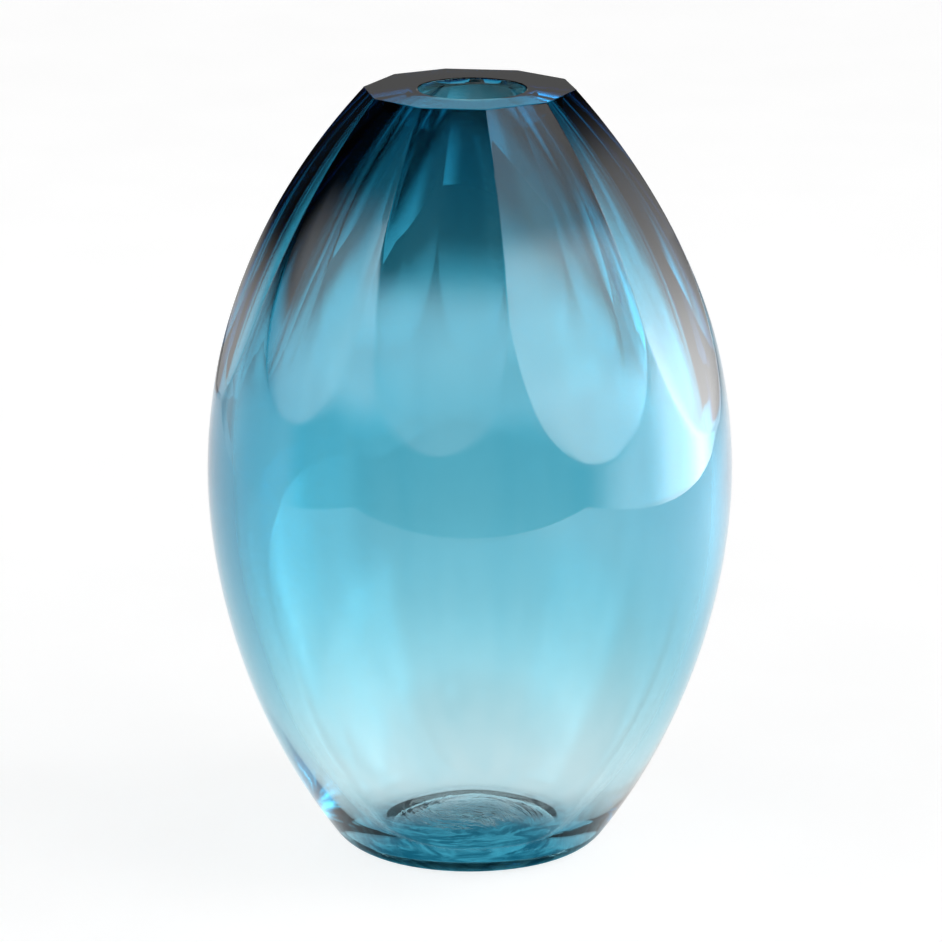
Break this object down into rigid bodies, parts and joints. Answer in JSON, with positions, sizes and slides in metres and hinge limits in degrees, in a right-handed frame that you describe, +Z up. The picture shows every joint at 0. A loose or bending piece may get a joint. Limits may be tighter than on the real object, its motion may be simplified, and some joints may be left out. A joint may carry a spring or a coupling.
{
  "type": "cut glass vase",
  "caption": "Tall ovoid glass vase with a small round mouth in a flat polished top, long round-tipped facets down its shoulder, and teal colour fading towards a rounded foot.",
  "frame": {"origin": "centre of the foot, on the plane the vase stands on", "axes": "+Z up along the vase's axis; the facets start 11 degrees from +X and repeat every tenth of a turn"},
  "size_m": [0.2026, 0.203, 0.3],
  "materials": {
    "casing_glass": "polished, pale aqua, clear",
    "colour_glass": "polished, deep teal, clear"
  },
  "bodies": {
    "root": {"outer_casing": "casing_glass", "colour_layer": "colour_glass"}
  },
  "joints": []
}
